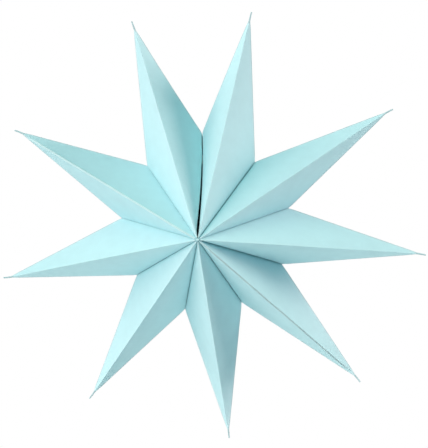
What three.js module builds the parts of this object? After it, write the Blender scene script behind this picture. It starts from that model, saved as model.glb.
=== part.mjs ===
// A folding nine-ray paper star. Each ray is card creased into four facets, two in front and two behind.
// The star opens like a fan about its front-to-back axis and is closed along one seam, at the top.
// The frame's origin is the hanging point inside the top notch, +Z is up and the front faces -Y.
// Inside the star group the origin is the star's centre, on its front-to-back axis.
import * as THREE from 'three';

// Driving dimensions, in millimetres.
const RAY_COUNT = 9;
const TIP_RADIUS = 219;
const HALF_DEPTH = 79;

// The fan opens a little unevenly. The first notch is the seam's, and the rest follow anticlockwise.
const NOTCH_RADII = [97, 89, 90, 90, 89, 85, 85, 86, 84];

// How many degrees each ray leans anticlockwise of its even place. The two beside the seam lean towards it.
const RAY_LEANS = [-4.4, -0.9, 0.5, 1.2, 1.2, 0.7, -0.6, -1, 4];

const CARD = 0.3;
const LAYER_PITCH = 0.6;
const CREASE_CLEARANCE = 0.1;
const RIM_CLEARANCE = 0.2;
const SEAM_CLEARANCE = 1.5;
const BACK_RIDGE_CLEARANCE = 1.6;
const TIP_CUT = 10.5;

// Each tip is pressed flat, edge-on to the front, and reaches a little past the point where its creases meet.
const TIP_TAB = { innerRadius: 210, outerRadius: 225, innerHeight: 5, outerHeight: 2, thickness: 0.5 };

// Two rays have the joint between their card sheets along their ridges, as a narrow glued flange.
const FLANGED_RAYS = [2, 6];
const FLANGE = { base: -0.2, height: 2.6, thickness: 0.5, apexGap: 9, tipGap: 13, taper: 4 };

// The seam is held by paper tabs that face each other, with an adhesive pad between them.
const CLOSURE = { notchGap: 16, length: 20, width: 10, start: -0.6, faceOffset: 0.65, thickness: 0.3 };
const PAD = { notchGap: 25, length: 10, width: 7, start: 1, thickness: 0.7 };
const THREAD_HOLE = { notchGap: 21, depth: 6, radius: 1.5 };

const RAY_STEP = 360 / RAY_COUNT;

const card = new THREE.MeshStandardMaterial({ color: 0xc8ecee, roughness: 0.85, metalness: 0 });
const foam = new THREE.MeshStandardMaterial({ color: 0xf2f2ee, roughness: 0.9, metalness: 0 });

// A direction in the star's plane, seen from the front: 0 is up, and angles grow anticlockwise.
function direction(degrees) {
  const angle = THREE.MathUtils.degToRad(degrees);
  return new THREE.Vector3(-Math.sin(angle), 0, Math.cos(angle));
}

function rayAngle(ray) {
  return RAY_STEP * (ray - 0.5) + RAY_LEANS[ray - 1];
}

function tipPoint(ray) {
  return direction(rayAngle(ray)).multiplyScalar(TIP_RADIUS);
}

// Notch 0 and notch 9 are the same point, at the seam.
function notchPoint(notch) {
  return direction(RAY_STEP * notch).multiplyScalar(NOTCH_RADII[notch % RAY_COUNT]);
}

// Front is -1 and back is +1 along Y.
function apexPoint(depthSign) {
  return new THREE.Vector3(0, depthSign * HALF_DEPTH, 0);
}

function outwardNormal(apex, tip, notch) {
  const normal = tip.clone().sub(apex).cross(notch.clone().sub(apex)).normalize();
  return normal.dot(apex) > 0 ? normal : normal.negate();
}

function facetNormal(ray, side, depthSign) {
  const notch = side === 'left' ? ray : ray - 1;
  return outwardNormal(apexPoint(depthSign), tipPoint(ray), notchPoint(notch));
}

// How far the hinge line of a crease lies inside the crease of the card's middle surface.
function hingeInset(normal, neighbourNormal) {
  const halfAngle = (Math.PI - normal.angleTo(neighbourNormal)) / 2;
  return LAYER_PITCH / 2 / Math.tan(halfAngle);
}

// The crossing of two lines in a plane, each given by a point and a direction.
function crossing(pointA, alongA, pointB, alongB) {
  const turn = alongA.cross(alongB);
  const reach = pointB.clone().sub(pointA).cross(alongB) / turn;
  return pointA.clone().addScaledVector(alongA, reach);
}

// The line through two points, moved sideways towards a third one.
function insetLine(from, to, towards, distance) {
  const along = to.clone().sub(from).normalize();
  const across = new THREE.Vector2(-along.y, along.x);
  if (across.dot(towards.clone().sub(from)) < 0) across.negate();
  return { point: from.clone().addScaledVector(across, distance), along };
}

// A flat plate of the given outline, centred on the plane of its two axes.
function plate(name, outline, thickness, origin, xAxis, yAxis, material) {
  const geometry = new THREE.ExtrudeGeometry(outline, { depth: thickness, bevelEnabled: false, curveSegments: 6 });
  geometry.translate(0, 0, -thickness / 2);
  const normal = xAxis.clone().cross(yAxis);
  const mesh = new THREE.Mesh(geometry, material.clone());
  mesh.name = name;
  mesh.position.copy(origin);
  mesh.setRotationFromMatrix(new THREE.Matrix4().makeBasis(xAxis, yAxis, normal));
  return mesh;
}

function neighbourAcrossValley(ray, side) {
  if (side === 'left') return { ray: ray === RAY_COUNT ? 1 : ray + 1, side: 'right' };
  return { ray: ray === 1 ? RAY_COUNT : ray - 1, side: 'left' };
}

// One facet of card, between a ridge, a valley and the rim. Seen along the ray from the centre,
// the left facet borders the notch of the ray's own number and the right facet the one before it.
function facet(ray, side, depthSign) {
  const apex = apexPoint(depthSign);
  const tip = tipPoint(ray);
  const notchNumber = side === 'left' ? ray : ray - 1;
  const notch = notchPoint(notchNumber);
  const normal = facetNormal(ray, side, depthSign);
  const otherSide = side === 'left' ? 'right' : 'left';
  const next = neighbourAcrossValley(ray, side);
  const atSeam = notchNumber % RAY_COUNT === 0;

  const ridgeInset = CREASE_CLEARANCE + hingeInset(normal, facetNormal(ray, otherSide, depthSign));
  const valleyInset = hingeInset(normal, facetNormal(next.ray, next.side, depthSign))
    + (atSeam ? SEAM_CLEARANCE : CREASE_CLEARANCE);
  const rimInset = RIM_CLEARANCE + hingeInset(normal, facetNormal(ray, side, -depthSign));

  // The facet's own plane: x runs from the apex to the tip, and y towards the notch.
  const xAxis = tip.clone().sub(apex).normalize();
  const toNotch = notch.clone().sub(apex);
  const yAxis = toNotch.clone().addScaledVector(xAxis, -toNotch.dot(xAxis)).normalize();
  const flatApex = new THREE.Vector2(0, 0);
  const flatTip = new THREE.Vector2(tip.distanceTo(apex), 0);
  const flatNotch = new THREE.Vector2(toNotch.dot(xAxis), toNotch.dot(yAxis));
  const valley = insetLine(flatApex, flatNotch, flatTip, valleyInset);
  const rim = insetLine(flatTip, flatNotch, flatApex, rimInset);

  // The back ridge is the open joint of each ray's closed linkage, so its edges part towards the apex.
  const ridgeStart = new THREE.Vector2(0, ridgeInset + (depthSign > 0 ? BACK_RIDGE_CLEARANCE : 0));
  const ridgeEnd = new THREE.Vector2(flatTip.x - TIP_CUT, ridgeInset);
  const ridgeAlong = ridgeEnd.clone().sub(ridgeStart).normalize();
  const acrossTip = new THREE.Vector2(0, 1);
  const outline = new THREE.Shape([
    ridgeEnd,
    crossing(ridgeEnd, acrossTip, rim.point, rim.along),
    crossing(rim.point, rim.along, valley.point, valley.along),
    crossing(ridgeStart, ridgeAlong, valley.point, valley.along),
  ]);
  const name = `ray_${ray}_${depthSign < 0 ? 'front' : 'back'}_${side}`;
  return plate(name, outline, CARD, apex, xAxis, yAxis, card);
}

// The flattened tip of a ray, in the upright plane of its ridges.
function tipTab(ray) {
  const { innerRadius, outerRadius, innerHeight, outerHeight, thickness } = TIP_TAB;
  const outline = new THREE.Shape([
    new THREE.Vector2(innerRadius, -innerHeight / 2),
    new THREE.Vector2(outerRadius, -outerHeight / 2),
    new THREE.Vector2(outerRadius, outerHeight / 2),
    new THREE.Vector2(innerRadius, innerHeight / 2),
  ]);
  const back = new THREE.Vector3(0, 1, 0);
  return plate(`ray_${ray}_tip`, outline, thickness, new THREE.Vector3(), direction(rayAngle(ray)), back, card);
}

// The glued flange that stands out along a ridge where two card sheets meet.
function ridgeFlange(ray, depthSign) {
  const apex = apexPoint(depthSign);
  const along = tipPoint(ray).sub(apex).normalize();
  const outward = new THREE.Vector3(0, depthSign, 0);
  outward.addScaledVector(along, -outward.dot(along)).normalize();
  const length = tipPoint(ray).distanceTo(apex);
  const { base, height, thickness, apexGap, tipGap, taper } = FLANGE;
  const outline = new THREE.Shape([
    new THREE.Vector2(apexGap, base),
    new THREE.Vector2(length - tipGap, base),
    new THREE.Vector2(length - tipGap - taper, height),
    new THREE.Vector2(apexGap + taper, height),
  ]);
  const name = `ray_${ray}_${depthSign < 0 ? 'front' : 'back'}_flange`;
  return plate(name, outline, thickness, apex, along, outward, card);
}

// The seam's own plane: x runs from an apex to the seam notch, and y into the star.
function seamPlane(depthSign) {
  const apex = apexPoint(depthSign);
  const notch = notchPoint(0);
  const along = notch.clone().sub(apex).normalize();
  const inward = new THREE.Vector3(0, -depthSign, 0);
  inward.addScaledVector(along, -inward.dot(along)).normalize();
  return { apex, along, inward, length: notch.distanceTo(apex) };
}

function rectangle(x, y, width, height) {
  return new THREE.Shape([
    new THREE.Vector2(x, y),
    new THREE.Vector2(x + width, y),
    new THREE.Vector2(x + width, y + height),
    new THREE.Vector2(x, y + height),
  ]);
}

// One closure tab, on the left (-1) or the right (+1) of the seam, punched for a hanging thread.
function closureTab(depthSign, sideSign) {
  const { apex, along, inward, length } = seamPlane(depthSign);
  const outline = rectangle(length - CLOSURE.notchGap - CLOSURE.length, CLOSURE.start, CLOSURE.length, CLOSURE.width);
  const hole = new THREE.Path();
  hole.absarc(length - THREAD_HOLE.notchGap, THREAD_HOLE.depth, THREAD_HOLE.radius, 0, 2 * Math.PI, true);
  outline.holes.push(hole);
  const name = `${depthSign < 0 ? 'front' : 'back'}_closure_tab_${sideSign < 0 ? 'left' : 'right'}`;
  const offset = sideSign * (CLOSURE.faceOffset + CLOSURE.thickness / 2);
  const origin = apex.clone().add(new THREE.Vector3(offset, 0, 0));
  return plate(name, outline, CLOSURE.thickness, origin, along, inward, card);
}

function closurePad(depthSign) {
  const { apex, along, inward, length } = seamPlane(depthSign);
  const outline = rectangle(length - PAD.notchGap - PAD.length, PAD.start, PAD.length, PAD.width);
  const name = `${depthSign < 0 ? 'front' : 'back'}_closure_pad`;
  return plate(name, outline, PAD.thickness, apex, along, inward, foam);
}

// The height of the thread holes above the star's centre.
function hangingHeight() {
  const { apex, along, inward, length } = seamPlane(-1);
  return apex.clone()
    .addScaledVector(along, length - THREAD_HOLE.notchGap)
    .addScaledVector(inward, THREAD_HOLE.depth).z;
}

const star = new THREE.Group();
for (let ray = 1; ray <= RAY_COUNT; ray += 1) {
  for (const depthSign of [-1, 1]) {
    star.add(facet(ray, 'left', depthSign));
    star.add(facet(ray, 'right', depthSign));
  }
  star.add(tipTab(ray));
}
for (const ray of FLANGED_RAYS) {
  star.add(ridgeFlange(ray, -1));
  star.add(ridgeFlange(ray, 1));
}
for (const depthSign of [-1, 1]) {
  star.add(closureTab(depthSign, -1));
  star.add(closureTab(depthSign, 1));
  star.add(closurePad(depthSign));
}
star.position.z = -hangingHeight();

const group = new THREE.Group();
group.add(star);

export default group;
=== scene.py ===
import math
from dataclasses import dataclass

import bmesh
import bpy
from mathutils import Matrix, Vector, noise


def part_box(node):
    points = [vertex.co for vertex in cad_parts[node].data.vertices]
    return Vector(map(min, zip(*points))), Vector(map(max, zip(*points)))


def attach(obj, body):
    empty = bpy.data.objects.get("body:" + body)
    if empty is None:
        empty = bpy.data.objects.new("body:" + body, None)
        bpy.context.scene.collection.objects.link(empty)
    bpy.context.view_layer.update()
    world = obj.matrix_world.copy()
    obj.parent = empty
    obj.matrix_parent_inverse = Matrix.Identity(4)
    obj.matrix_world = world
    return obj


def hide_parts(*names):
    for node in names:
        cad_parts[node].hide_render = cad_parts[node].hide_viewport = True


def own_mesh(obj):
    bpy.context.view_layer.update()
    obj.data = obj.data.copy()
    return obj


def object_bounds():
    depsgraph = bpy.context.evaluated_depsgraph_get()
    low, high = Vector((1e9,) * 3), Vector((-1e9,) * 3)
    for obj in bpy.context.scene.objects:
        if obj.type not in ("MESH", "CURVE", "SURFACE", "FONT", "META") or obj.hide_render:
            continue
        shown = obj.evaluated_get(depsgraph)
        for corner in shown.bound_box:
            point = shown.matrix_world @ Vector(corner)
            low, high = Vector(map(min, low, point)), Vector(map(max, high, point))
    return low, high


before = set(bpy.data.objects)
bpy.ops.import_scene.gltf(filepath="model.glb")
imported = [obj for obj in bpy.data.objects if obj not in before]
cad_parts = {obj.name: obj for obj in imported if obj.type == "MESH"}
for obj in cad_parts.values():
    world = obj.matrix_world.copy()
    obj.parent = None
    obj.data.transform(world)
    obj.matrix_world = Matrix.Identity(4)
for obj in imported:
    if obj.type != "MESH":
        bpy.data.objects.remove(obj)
cad_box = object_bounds()

# Without a seed, noise_vector gives other values on each run. With it, the star is the same each time.
noise.seed_set(1)

# The star's driving dimensions, in metres and degrees. A ray's left and right are as seen along it from the
# star's centre.
RAY_COUNT = 9
RAY_STEP = 360 / RAY_COUNT
TIP_RADIUS = 0.219
TIP_END_RADIUS = 0.225
HALF_DEPTH = 0.079
# The first notch is the seam's, and the rest follow anticlockwise.
NOTCH_RADII = (0.097, 0.089, 0.090, 0.090, 0.089, 0.085, 0.085, 0.086, 0.084)
# How far each ray leans anticlockwise of its even place.
RAY_LEANS = (-4.4, -0.9, 0.5, 1.2, 1.2, 0.7, -0.6, -1, 4)
CARD = 0.0003
# Half the seam's width at the apex and at its notch, and at most this share of a facet's width.
SEAM_HALF_GAP = (0.0016, 0.0005)
WIDEST_SEAM_SHARE = 0.45
# The seam bows this far to the right, as seen from the front, and most at this share of the way outward.
SEAM_BOW = 0.0033
SEAM_BOW_PEAK = 0.65

# The glued flanges, by their rays, and how far each one's two layers part at its edge.
FLANGE_PARTING = {2: 0, 6: 0.0002}
# Where along its ridge a flange starts, how far short of the ridge's end it stops, and its slopes' length.
FLANGE_START = 0.004
FLANGE_STOP = 0.010
FLANGE_TAPER = 0.02
# A flange's foot and its edge, measured from the ridge.
FLANGE_BASE = -0.0002
FLANGE_HEIGHT = 0.0020
# At its two ends a flange keeps this share of its height, so that its layers stay closed solids.
FLANGE_LEAST_RISE = 0.08
# Half a layer's thickness, and how far a flange leans over and waves at its edge.
FLANGE_HALF_LAYER = 0.0004
FLANGE_LEAN = 0.0005
FLANGE_WAVE = 0.0003
FLANGE_WAVES_PER_METRE = 45

# How finely a facet's sheet is divided, from the apex to the rim and from the ridge to the valley.
SHEET_STEPS = (30, 20)
# A sheet starts this share of the way from the apex, which leaves the small ring that the fold ends stand in.
RING = 0.013

# How far each ray's front left and front right facets belly outwards, in metres.
FRONT_BELLY = {
    1: (0.0008, 0.0012),
    2: (0.0010, 0.0006),
    3: (0.0012, 0.0010),
    4: (0.0014, 0.0008),
    5: (0.0018, 0.0012),
    6: (0.0014, 0.0012),
    7: (0.0010, 0.0014),
    8: (0.0012, 0.0016),
    9: (0.0016, 0.0012),
}
BACK_BELLY = 0.0013
# How far each ray's front ridge sags at the middle of its length.
RIDGE_SAG = (0, 0.002, 0.003, 0.003, 0, 0, 0.001, 0.003, 0.0045)
# How deep each valley's crease is drawn in, by the number of its notch. Notches 0 and 9 are the seam.
VALLEY_DRAW = (0, 0.0005, 0.0006, 0.0012, 0.0013, 0.0016, 0.0018, 0.0008, 0.0018, 0)
VALLEY_WIDTH = 0.0014
# Painted shade: the card's colour is darkened in the valleys, most where they are drawn in deepest, to stand
# in for the shade that falls in the creases.
DEEPEST_DRAW = max(VALLEY_DRAW)
SHADE_WIDTH = 0.0009
# The ridges stand a little proud, over this width, and the sheets are a little uneven.
RIDGE_LIFT = 0.0003
RIDGE_WIDTH = 0.003
UNEVENNESS = 0.00035
SHEET_WAVES_PER_METRE = 28
# How far from a crease or a rim the card's colour is worn pale, and how long a facet is, roughly.
WEAR_WIDTH = 0.0012
FACET_LENGTH = 0.2

# The rounded outsides of folds: their radius, and how much thicker they are at their start.
RIDGE_BEAD = (0.0003, 0.0009)
RIM_BEAD = (0.0004, 0.0001)
BEAD_SWELLING_LENGTH = 0.0013
BEAD_WEAR_LENGTH = 0.002
BEAD_UNEVENNESS = 0.00006
BEAD_WAVES_PER_METRE = 60
# Which shares of a ridge and of a rim their beads run along.
RIDGE_BEAD_SPAN = (RING, 0.985)
RIM_BEAD_SPAN = (0.015, 0.985)

# The dabs at the apexes: how far each is sunk in, and how lumpy it is.
APEX_DOT_RADIUS = 0.0014
APEX_DOT_SINK = 0.0006
APEX_DOT_LUMPS = 0.25
APEX_DOT_LUMPS_PER_METRE = 900

# The pressed tips, whose half sizes are given at the start and at the end.
TIP_START_RADIUS = TIP_RADIUS - 0.006
TIP_HALF_DEPTH = (0.0016, 0.0012)
TIP_HALF_THICKNESS = (0.0010, 0.0007)
# How far each ray's pressed tip bends aside at its end, in metres, positive to the right.
TIP_BEND = (0, -0.001, 0.0012, 0.0003, 0, 0.001, 0.0006, 0.0009, 0.0004)

AQUA = (0.58, 0.91, 0.95)
# Painted shade: the dark teal that the card is mixed towards in the valleys, standing in for the shade in the
# creases.
PAINTED_VALLEY_SHADE = (0.16, 0.42, 0.46)
# Darker than the card: along the rim beads it is painted shade, and on the pressed tips a darker tint.
TIP_AQUA_AND_RIM_SHADE = (0.56, 0.78, 0.8)
# Paler than the card, so that each glued flange shows as a light line along its ridge.
PALE_FLANGE_AQUA = (0.7, 0.98, 1)
WORN_CARD = (0.74, 0.93, 0.95)
WORN_FOLD = (0.84, 1, 1)
SNOW = (0.93, 0.93, 0.92)

# The camera stands a little to the right of the star's front and above it, and is rolled.
CAMERA_TURN = 7.2
CAMERA_TILT = 8.66
CAMERA_ROLL = 3.57
CAMERA_DISTANCE = 1.5
FOCAL_LENGTH = 116.6
CAMERA_SHIFT = (0.0143, 0.0083)

# Soft lamps: degrees round from the front towards +X, degrees up, width in degrees, strength and colour.
LAMPS = {
    "key": (-68, 30, 95, 3.12, (1, 0.88, 0.83)),
    "side": (97, 18, 30, 2.42, (1, 0.74, 0.7)),
    "top": (50, 65, 40, 0.58, (0.55, 1, 0.8)),
}
SURROUND = 0.21
SURROUND_COLOUR = (0.48, 0.75, 1)
# How far below the star the floor lies, and half its width.
FLOOR_DROP = 1.4
FLOOR_SIZE = 3


def direction(degrees):
    """A direction in the star's plane, seen from the front: 0 is up, and angles grow anticlockwise."""
    angle = math.radians(degrees)
    return Vector((-math.sin(angle), 0, math.cos(angle)))


centre = Vector((0, 0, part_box("ray_5_tip")[0].z + TIP_END_RADIUS))


def ray_angle(ray):
    return RAY_STEP * (ray - 0.5) + RAY_LEANS[ray - 1]


def tip_point(ray):
    return centre + direction(ray_angle(ray)) * TIP_RADIUS


def notch_point(notch):
    return centre + direction(RAY_STEP * notch) * NOTCH_RADII[notch % RAY_COUNT]


def apex_point(depth):
    """Front is -1 and back is +1."""
    return centre + Vector((0, depth * HALF_DEPTH, 0))


def face_name(depth):
    return "front" if depth < 0 else "back"


def facet_normal(ray, side, depth):
    apex = apex_point(depth)
    notch = notch_point(ray if side == "left" else ray - 1)
    normal = (tip_point(ray) - apex).cross(notch - apex).normalized()
    return normal if normal.dot(apex - centre) > 0 else -normal


def blend(ends, share):
    """The value this share of the way from the first of two ends to the second."""
    first, second = ends
    return first + (second - first) * share


def mitre(first, second):
    """Halfway between two facets' normals, and long enough to reach both facets' surfaces."""
    return (first + second) / (1 + first.dot(second))


def seam_bow(outward):
    """How far the seam bows to the right, as seen from the front."""
    return SEAM_BOW * (1 - (1 - outward / SEAM_BOW_PEAK) ** 2)


@dataclass
class Facet:
    ray: int
    side: str
    depth: int

    def __post_init__(self):
        self.other_side = "right" if self.side == "left" else "left"
        self.notch_number = self.ray if self.side == "left" else self.ray - 1
        self.at_seam = self.notch_number % RAY_COUNT == 0
        self.apex = apex_point(self.depth)
        self.tip = tip_point(self.ray)
        self.notch = notch_point(self.notch_number)
        self.normal = facet_normal(self.ray, self.side, self.depth)
        step = 1 if self.side == "left" else -1
        next_ray = (self.ray - 1 + step) % RAY_COUNT + 1
        self.ridge_mitre = mitre(self.normal, facet_normal(self.ray, self.other_side, self.depth))
        self.valley_mitre = mitre(self.normal, facet_normal(next_ray, self.other_side, self.depth))
        self.rim_mitre = mitre(self.normal, facet_normal(self.ray, self.side, -self.depth))
        self.name = f"ray_{self.ray}_{face_name(self.depth)}_{self.side}"
        self.belly = BACK_BELLY
        self.sag = 0
        if self.depth < 0:
            self.belly = FRONT_BELLY[self.ray][0 if self.side == "left" else 1]
            self.sag = RIDGE_SAG[self.ray - 1]
        self.draw = 0 if self.at_seam else VALLEY_DRAW[self.notch_number]

    def valley_end(self, outward):
        """How far towards the valley the sheet reaches: all the way, except beside the seam."""
        if not self.at_seam:
            return 1
        reach = outward * abs(self.tip.x - centre.x)
        return 1 - min(blend(SEAM_HALF_GAP, outward) / reach, WIDEST_SEAM_SHARE)

    def point(self, outward, across):
        """A point of the sheet's middle: outward runs from apex to rim, and across from ridge to valley."""
        to_tip = self.tip - self.apex
        to_notch = self.notch - self.apex
        flat = self.apex + outward * ((1 - across) * to_tip + across * to_notch)
        width = outward * (self.tip - self.notch).length
        # Creases and waves fade out over a twelfth of the way from the apex and from the rim.
        fade = min(1, 12 * (1 - outward)) * min(1, 12 * outward)
        # The factor of 8.4 makes the belly's highest point as high as self.belly.
        belly = 8.4 * across * (1 - across) * outward * (1 - outward**3) * self.belly
        # Each facet has waves of its own.
        own = Vector((self.ray, self.depth, 3.7 * self.notch_number))
        wave = noise.noise(flat * SHEET_WAVES_PER_METRE + own)
        wave *= UNEVENNESS * fade * min(1, 8 * across, 8 * (1 - across))
        draw = self.draw * fade * math.exp(-width * (1 - across) / VALLEY_WIDTH)
        lift = RIDGE_LIFT * fade * math.exp(-width * across / RIDGE_WIDTH)
        sag = self.sag * 4 * outward * (1 - outward) * (1 - across)
        bow = seam_bow(outward) * across**2 if self.at_seam else 0
        bent = flat + Vector((bow, sag, 0)) + self.normal * (belly + wave)
        return bent - self.valley_mitre * draw + self.ridge_mitre * lift

    def thickness_axis(self, row, column, rows, columns):
        """Which way the two faces of the card lie from its middle surface: along the mitre at an edge."""
        if column == 0:
            return self.ridge_mitre
        if column == columns and not self.at_seam:
            return self.valley_mitre
        if row == rows:
            return self.rim_mitre
        return self.normal


def add_piece(name, body, mesh, material):
    piece = bpy.data.objects.new(name, mesh)
    bpy.context.collection.objects.link(piece)
    mesh.materials.append(material)
    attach(piece, body)
    return piece


def mesh_from(name, build, sharp_angle=50):
    """A smooth-shaded mesh from what build(bm) adds, with its faces turned outwards."""
    bm = bmesh.new()
    build(bm)
    bmesh.ops.recalc_face_normals(bm, faces=bm.faces)
    for face in bm.faces:
        face.smooth = True
    mesh = bpy.data.meshes.new(name)
    bm.to_mesh(mesh)
    bm.free()
    mesh.set_sharp_from_angle(angle=math.radians(sharp_angle))
    return mesh


def add_attribute(mesh, name, values):
    """Gives every vertex a number that a material reads by this name."""
    attribute = mesh.attributes.new(name, "FLOAT", "POINT")
    attribute.data.foreach_set("value", values)


def close_sheet(bm, top, bottom):
    """Joins two grids of vertices, one over the other, into one thin closed sheet."""
    rows, columns = len(top) - 1, len(top[0]) - 1
    for grid in (top, bottom):
        for row in range(rows):
            for column in range(columns):
                corners = (grid[row][column], grid[row + 1][column])
                corners += (grid[row + 1][column + 1], grid[row][column + 1])
                bm.faces.new(corners)
    edge = [(row, 0) for row in range(rows)]
    edge += [(rows, column) for column in range(columns)]
    edge += [(row, columns) for row in range(rows, 0, -1)]
    edge += [(0, column) for column in range(columns, 0, -1)]
    for here, after in zip(edge, edge[1:] + edge[:1]):
        corners = (top[here[0]][here[1]], top[after[0]][after[1]])
        corners += (bottom[after[0]][after[1]], bottom[here[0]][here[1]])
        bm.faces.new(corners)


def close_tube(bm, rings):
    """Joins rings of vertices, one after another, into one closed tube."""
    for here, after in zip(rings, rings[1:]):
        for corner in range(len(here)):
            following = (corner + 1) % len(here)
            bm.faces.new((here[corner], here[following], after[following], after[corner]))
    bm.faces.new(rings[0])
    bm.faces.new(rings[-1])


def facet_sheet(facet, material):
    """One facet of card as a thin closed sheet, which meets its neighbours edge to edge."""
    rows, columns = SHEET_STEPS
    wear = []
    shade = []

    def build(bm):
        faces = {1: [], -1: []}
        for row in range(rows + 1):
            outward = RING + (1 - RING) * row / rows
            for layer in faces:
                faces[layer].append([])
            for column in range(columns + 1):
                # Columns stand closer together at the ridge and at the valley, where the card bends more.
                across = (1 - math.cos(math.pi * column / columns)) / 2 * facet.valley_end(outward)
                middle = facet.point(outward, across)
                axis = facet.thickness_axis(row, column, rows, columns)
                width = outward * (facet.tip - facet.notch).length
                to_valley = width * (1 - across)
                to_edge = min(width * across, to_valley, FACET_LENGTH * (1 - outward))
                for layer in faces:
                    faces[layer][row].append(bm.verts.new(middle + axis * (layer * CARD / 2)))
                    wear.append(math.exp(-to_edge / WEAR_WIDTH))
                    # Painted shade: how strongly the card is darkened here, most beside a deeply drawn
                    # valley.
                    shade.append(facet.draw / DEEPEST_DRAW * math.exp(-to_valley / SHADE_WIDTH))
        close_sheet(bm, faces[1], faces[-1])

    mesh = mesh_from(facet.name + "_sheet", build)
    add_attribute(mesh, "crease_wear", wear)
    add_attribute(mesh, "valley_shade", shade)
    sheet = add_piece(mesh.name, facet.name, mesh, material)
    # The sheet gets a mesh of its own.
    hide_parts(facet.name)
    # Card springs flat as the star is folded.
    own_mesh(sheet)
    return sheet


def tube(path, radii, sides=10):
    """Adds a closed tube along a path to a bmesh, with one radius for each point."""

    def build(bm):
        rings = []
        side = None
        for index, point in enumerate(path):
            before = path[max(index - 1, 0)]
            after = path[min(index + 1, len(path) - 1)]
            along = (after - before).normalized()
            if side is None:
                side = along.orthogonal().normalized()
            else:
                # Each ring is turned as little as can be from the one before, so that the tube doesn't twist.
                side = (side - along * side.dot(along)).normalized()
            up = along.cross(side)
            ring = []
            for corner in range(sides):
                turn = 2 * math.pi * corner / sides
                offset = side * math.cos(turn) + up * math.sin(turn)
                ring.append(bm.verts.new(point + offset * radii[index]))
            rings.append(ring)
        close_tube(bm, rings)

    return build


def fold_bead(name, body, path, size, material):
    """The rounded outside of a fold: a thin round line with, at its start, the swelling of a fold's end."""
    radius, swelling = size
    start = path[0]
    last = len(path) - 1
    wavy = [point + noise.noise_vector(point * BEAD_WAVES_PER_METRE) * BEAD_UNEVENNESS for point in path]
    radii = []
    for index, point in enumerate(path):
        extra = swelling * math.exp(-(((point - start).length / BEAD_SWELLING_LENGTH) ** 2))
        # The bead narrows over its last steps.
        close = min(1, 0.3 + (last - index) / 4)
        radii.append((radius + extra) * close)
    radii[0] *= 0.5
    mesh = mesh_from(name, tube(wavy, radii))
    distances = [(vertex.co - start).length for vertex in mesh.vertices]
    add_attribute(mesh, "crease_wear", [math.exp(-distance / BEAD_WEAR_LENGTH) for distance in distances])
    return add_piece(name, body, mesh, material)


def ridge_bead(ray, depth, material):
    facet = Facet(ray, "left", depth)
    path = [facet.point(blend(RIDGE_BEAD_SPAN, step / 60), 0) for step in range(61)]
    # The front ridges ride between their two facets, and the back ridges on their left facets.
    body = f"ray_{ray}_spine" if depth < 0 else facet.name
    name = f"ray_{ray}_{face_name(depth)}_ridge_fold"
    bead = fold_bead(name, body, path, RIDGE_BEAD, material)
    # The back beads and the sagged front ones get meshes of their own.
    if depth > 0:
        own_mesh(bead)
    elif facet.sag:
        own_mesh(bead)
    return bead


def rim_bead(ray, side, material):
    facet = Facet(ray, side, -1)
    # It starts at the notch, where the fold's end swells, and runs to the tip.
    path = [facet.point(1, blend(RIM_BEAD_SPAN, step / 40)) for step in range(40, -1, -1)]
    bead = fold_bead(f"ray_{ray}_{side}_rim_fold", facet.name, path, RIM_BEAD, material)
    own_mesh(bead)
    return bead


def pressed_tip(ray, material):
    """The end of a ray, pressed flat and bent a little aside. It stands edge-on to the front."""
    outward = direction(ray_angle(ray))
    across = Vector((0, 1, 0))
    aside = across.cross(outward).normalized()
    steps, sides = 16, 12

    def build(bm):
        rings = []
        for step in range(steps + 1):
            share = step / steps
            radius = blend((TIP_START_RADIUS, TIP_END_RADIUS), share)
            middle = centre + outward * radius + aside * (TIP_BEND[ray - 1] * share**2)
            half_depth = blend(TIP_HALF_DEPTH, share)
            half_thickness = blend(TIP_HALF_THICKNESS, share)
            ring = []
            for corner in range(sides):
                turn = 2 * math.pi * corner / sides
                # A power below 1 flattens the sides, as pressing does.
                flattened = math.copysign(abs(math.sin(turn)) ** 0.6, math.sin(turn))
                point = middle + across * (math.cos(turn) * half_depth)
                ring.append(bm.verts.new(point + aside * (flattened * half_thickness)))
            rings.append(ring)
        close_tube(bm, rings)

    mesh = mesh_from(f"ray_{ray}_pressed_tip", build)
    tip = add_piece(mesh.name, f"ray_{ray}_spine", mesh, material)
    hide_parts(f"ray_{ray}_tip")
    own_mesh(tip)
    return tip


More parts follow.
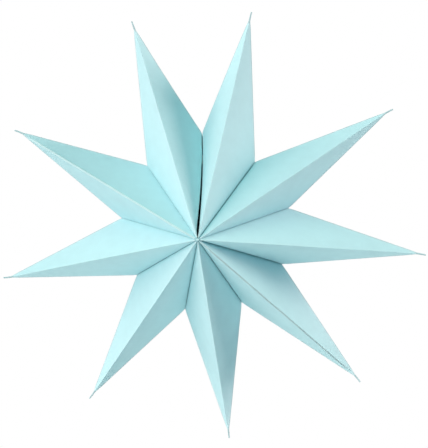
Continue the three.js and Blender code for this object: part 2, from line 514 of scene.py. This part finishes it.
def glued_flange(ray, depth, material):
    """The raised edge along a ridge where two sheets of card are glued: two layers side by side."""
    node = f"ray_{ray}_{face_name(depth)}_flange"
    apex = apex_point(depth)
    along = (tip_point(ray) - apex).normalized()
    length = (tip_point(ray) - apex).length
    sag = RIDGE_SAG[ray - 1] if depth < 0 else 0
    upward = Vector((0, depth, 0))
    upward = (upward - along * upward.dot(along)).normalized()
    aside = along.cross(upward) * depth
    start, end = FLANGE_START, length - FLANGE_STOP
    steps, levels = 70, 5

    def layer_sheet(bm, sign):
        rows = []
        for step in range(steps + 1):
            place = start + (end - start) * step / steps
            slope = min(place - start, end - place) / FLANGE_TAPER
            rise = max(FLANGE_LEAST_RISE, min(1, slope))
            row = []
            for level in range(levels + 1):
                share = level / levels
                up = FLANGE_BASE + (FLANGE_HEIGHT - FLANGE_BASE) * share * rise
                wave = noise.noise(Vector((place * FLANGE_WAVES_PER_METRE, ray, 0))) * FLANGE_WAVE * share
                lean = FLANGE_LEAN * share * share
                part = sign * (FLANGE_HALF_LAYER + FLANGE_PARTING[ray] * share)
                middle = apex + along * place + upward * up + aside * (wave + lean + part)
                middle.y += 4 * sag * (place / length) * (1 - place / length)
                row.append((middle - aside * FLANGE_HALF_LAYER, middle + aside * FLANGE_HALF_LAYER))
            rows.append(row)
        grids = [[[bm.verts.new(pair[face]) for pair in row] for row in rows] for face in (0, 1)]
        close_sheet(bm, *grids)

    def build(bm):
        layer_sheet(bm, -1)
        layer_sheet(bm, 1)

    mesh = mesh_from(node + "_layers", build)
    body = f"ray_{ray}_spine" if depth < 0 else node
    flange = add_piece(mesh.name, body, mesh, material)
    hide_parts(node)
    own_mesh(flange)
    return flange


def card_material(name, tint, worn, wear_range=(0.1, 0.55)):
    """Dyed card: cloudy colour, fine fibres, pale worn creases, painted shade in the valleys and a dull,
    slightly rough surface.
    """
    material = bpy.data.materials.new(name)
    material.use_nodes = True
    nodes = material.node_tree.nodes
    links = material.node_tree.links
    shader = nodes["Principled BSDF"]
    place = nodes.new("ShaderNodeTexCoord").outputs["Object"]

    def noise_texture(scale, detail, stretch=(1, 1, 1)):
        mapping = nodes.new("ShaderNodeMapping")
        mapping.inputs["Scale"].default_value = stretch
        texture = nodes.new("ShaderNodeTexNoise")
        texture.inputs["Scale"].default_value = scale
        texture.inputs["Detail"].default_value = detail
        links.new(place, mapping.inputs["Vector"])
        links.new(mapping.outputs["Vector"], texture.inputs["Vector"])
        return texture.outputs["Fac"]

    def remap(value, low, high, from_low=0.3, from_high=0.7):
        node = nodes.new("ShaderNodeMapRange")
        node.inputs["From Min"].default_value = from_low
        node.inputs["From Max"].default_value = from_high
        node.inputs["To Min"].default_value = low
        node.inputs["To Max"].default_value = high
        links.new(value, node.inputs["Value"])
        return node.outputs["Result"]

    def mix(factor, first, second):
        node = nodes.new("ShaderNodeMix")
        node.data_type = "RGBA"
        sockets = [socket for socket in node.inputs if socket.enabled and socket.type in ("VALUE", "RGBA")]
        for name, value in (("Factor", factor), ("A", first), ("B", second)):
            target = next(socket for socket in sockets if socket.name == name)
            if isinstance(value, bpy.types.NodeSocket):
                links.new(value, target)
            else:
                target.default_value = value
        return next(socket for socket in node.outputs if socket.type == "RGBA" and socket.enabled)

    # Clouds of about 12 mm, fibres of about 2 mm and a grain of about 0.4 mm.
    clouds = noise_texture(85, 4)
    fibres = noise_texture(420, 6, (1, 1, 5))
    grain = noise_texture(2600, 3)
    wear = nodes.new("ShaderNodeAttribute")
    wear.attribute_name = "crease_wear"

    darker = tuple(0.975 * channel for channel in tint) + (1,)
    paler = tuple(min(1, 1.01 * channel + 0.006) for channel in tint) + (1,)
    cloudy = mix(remap(clouds, 0, 1), darker, paler)
    fibrous = mix(remap(fibres, 0, 0.35, 0.5, 0.75), cloudy, paler)
    grainy = mix(remap(grain, 0, 0.25), fibrous, darker)
    worn_share = nodes.new("ShaderNodeMath")
    worn_share.operation = "MULTIPLY"
    links.new(wear.outputs["Fac"], worn_share.inputs[0])
    links.new(remap(grain, *wear_range), worn_share.inputs[1])
    creased = mix(worn_share.outputs["Value"], grainy, worn + (1,))
    # Painted shade: the colour darkens towards the valleys, where shade falls in the creases.
    shade = nodes.new("ShaderNodeAttribute")
    shade.attribute_name = "valley_shade"
    colour = mix(remap(shade.outputs["Fac"], 0, 0.75, 0, 1), creased, PAINTED_VALLEY_SHADE + (1,))
    links.new(colour, shader.inputs["Base Color"])
    links.new(remap(grain, 0.68, 0.86), shader.inputs["Roughness"])
    shader.inputs["Specular IOR Level"].default_value = 0.15

    height = nodes.new("ShaderNodeMath")
    height.operation = "MULTIPLY_ADD"
    links.new(fibres, height.inputs[0])
    height.inputs[1].default_value = 1.6
    links.new(grain, height.inputs[2])
    bump = nodes.new("ShaderNodeBump")
    bump.inputs["Strength"].default_value = 0.35
    bump.inputs["Distance"].default_value = 0.00003
    links.new(height.outputs["Value"], bump.inputs["Height"])
    links.new(bump.outputs["Normal"], shader.inputs["Normal"])
    return material


def foam_material():
    """White adhesive foam: fine closed cells and a slight sheen."""
    material = bpy.data.materials.new("adhesive_foam")
    material.use_nodes = True
    nodes = material.node_tree.nodes
    links = material.node_tree.links
    shader = nodes["Principled BSDF"]
    place = nodes.new("ShaderNodeTexCoord")
    cells = nodes.new("ShaderNodeTexVoronoi")
    cells.inputs["Scale"].default_value = 3200
    links.new(place.outputs["Object"], cells.inputs["Vector"])
    ramp = nodes.new("ShaderNodeValToRGB")
    ramp.color_ramp.elements[0].color = tuple(0.8 * channel for channel in SNOW) + (1,)
    ramp.color_ramp.elements[1].color = SNOW + (1,)
    links.new(cells.outputs["Distance"], ramp.inputs["Fac"])
    links.new(ramp.outputs["Color"], shader.inputs["Base Color"])
    shader.inputs["Roughness"].default_value = 0.6
    bump = nodes.new("ShaderNodeBump")
    bump.inputs["Strength"].default_value = 0.4
    bump.inputs["Distance"].default_value = 0.0001
    links.new(cells.outputs["Distance"], bump.inputs["Height"])
    links.new(bump.outputs["Normal"], shader.inputs["Normal"])
    return material


def apex_dot(depth, material):
    """The dab of glue-stiffened card where all the folds meet."""

    def build(bm):
        bmesh.ops.create_icosphere(bm, subdivisions=3, radius=APEX_DOT_RADIUS)
        for vertex in bm.verts:
            place = vertex.co * APEX_DOT_LUMPS_PER_METRE + Vector((0, 0, depth))
            swell = 1 + APEX_DOT_LUMPS * noise.noise(place)
            vertex.co = vertex.co * swell + apex_point(depth) - Vector((0, depth * APEX_DOT_SINK, 0))

    mesh = mesh_from(f"{face_name(depth)}_apex_dot", build, sharp_angle=80)
    body = "ray_5_spine" if depth < 0 else "ray_5_back_left"
    dot = add_piece(mesh.name, body, mesh, material)
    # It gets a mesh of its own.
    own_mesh(dot)
    return dot


def closure_piece(name, body, material):
    """A closure tab or pad as the CAD has it, but carried sideways with the bowed edge of the seam."""
    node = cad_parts[name]
    mesh = node.data.copy()
    mesh.transform(node.matrix_world)
    for vertex in mesh.vertices:
        vertex.co.x += seam_bow((vertex.co.z - centre.z) / NOTCH_RADII[0])
    mesh.materials.clear()
    piece = add_piece(name + "_bowed", body, mesh, material)
    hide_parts(name)
    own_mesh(piece)
    return piece


def build_star():
    card = card_material("aqua_card", AQUA, WORN_CARD)
    fold = card_material("aqua_fold", AQUA, WORN_FOLD, (0.6, 0.9))
    # The flanges' card is paler than the rest.
    cut = card_material("aqua_pale_flange", PALE_FLANGE_AQUA, WORN_FOLD)
    # The darker card of the tips and rims; along the rim beads its darkness is painted shade.
    pressed = card_material("aqua_tips_and_rim_shade", TIP_AQUA_AND_RIM_SHADE, WORN_FOLD)
    for ray in range(1, RAY_COUNT + 1):
        for depth in (-1, 1):
            for side in ("left", "right"):
                facet_sheet(Facet(ray, side, depth), card)
            ridge_bead(ray, depth, fold)
        # The rim beads take the darker card, which paints shade along the rims.
        rim_bead(ray, "left", pressed)
        rim_bead(ray, "right", pressed)
        pressed_tip(ray, pressed)
    for ray in FLANGE_PARTING:
        glued_flange(ray, -1, cut)
        glued_flange(ray, 1, cut)
    for depth in (-1, 1):
        face = face_name(depth)
        apex_dot(depth, fold)
        for side in ("left", "right"):
            closure_piece(f"{face}_closure_tab_{side}", f"{face}_closure_{side}", card)
    foam = foam_material()
    for depth in (-1, 1):
        face = face_name(depth)
        closure_piece(f"{face}_closure_pad", f"{face}_closure_left", foam)


def build_floor():
    def build(bm):
        bmesh.ops.create_grid(bm, x_segments=1, y_segments=1, size=FLOOR_SIZE)

    mesh = mesh_from("floor", build)
    floor = bpy.data.objects.new("floor", mesh)
    floor.location = (0, 0, cad_box[0][2] - FLOOR_DROP)
    bpy.context.collection.objects.link(floor)
    material = bpy.data.materials.new("pale_floor")
    material.use_nodes = True
    shader = material.node_tree.nodes["Principled BSDF"]
    shader.inputs["Base Color"].default_value = (0.93, 0.93, 0.93, 1)
    shader.inputs["Roughness"].default_value = 0.9
    mesh.materials.append(material)


def build_world():
    """The backdrop shows white, as an overexposed studio wall does, and lights the star softly."""
    world = bpy.data.worlds.new("surround")
    bpy.context.scene.world = world
    world.use_nodes = True
    nodes = world.node_tree.nodes
    links = world.node_tree.links
    path = nodes.new("ShaderNodeLightPath")
    colour = nodes.new("ShaderNodeMix")
    colour.data_type = "RGBA"
    colour.inputs["A"].default_value = tuple(SURROUND * channel for channel in SURROUND_COLOUR) + (1,)
    colour.inputs["B"].default_value = (1, 1, 1, 1)
    links.new(path.outputs["Is Camera Ray"], colour.inputs["Factor"])
    links.new(colour.outputs["Result"], nodes["Background"].inputs["Color"])


def build_lamps():
    for name, (azimuth, elevation, width, strength, colour) in LAMPS.items():
        lamp = bpy.data.lights.new(name, "SUN")
        lamp.energy = strength
        lamp.color = colour
        lamp.angle = math.radians(width)
        holder = bpy.data.objects.new(name, lamp)
        turn = Matrix.Rotation(math.radians(azimuth), 3, "Z")
        height = math.radians(elevation)
        towards = turn @ Vector((0, -math.cos(height), math.sin(height)))
        holder.rotation_euler = towards.to_track_quat("Z", "Y").to_euler()
        bpy.context.collection.objects.link(holder)


def build_camera():
    camera = bpy.data.cameras.new("camera")
    camera.lens = FOCAL_LENGTH
    camera.shift_x, camera.shift_y = CAMERA_SHIFT
    holder = bpy.data.objects.new("camera", camera)
    # A camera at no rotation looks down, so it is first stood up to look at the star's front.
    stand = Matrix.Rotation(math.radians(90), 3, "X")
    roll = Matrix.Rotation(math.radians(-CAMERA_ROLL), 3, "Z")
    tilt = Matrix.Rotation(math.radians(-CAMERA_TILT), 3, "X")
    turn = stand @ roll @ tilt @ Matrix.Rotation(math.radians(CAMERA_TURN), 3, "Y")
    place = centre + turn @ Vector((0, 0, CAMERA_DISTANCE))
    holder.matrix_world = Matrix.Translation(place) @ turn.to_4x4()
    bpy.context.collection.objects.link(holder)
    bpy.context.scene.camera = holder


build_camera()
build_star()
build_floor()
build_lamps()
build_world()
bpy.context.scene.view_settings.view_transform = "Standard"
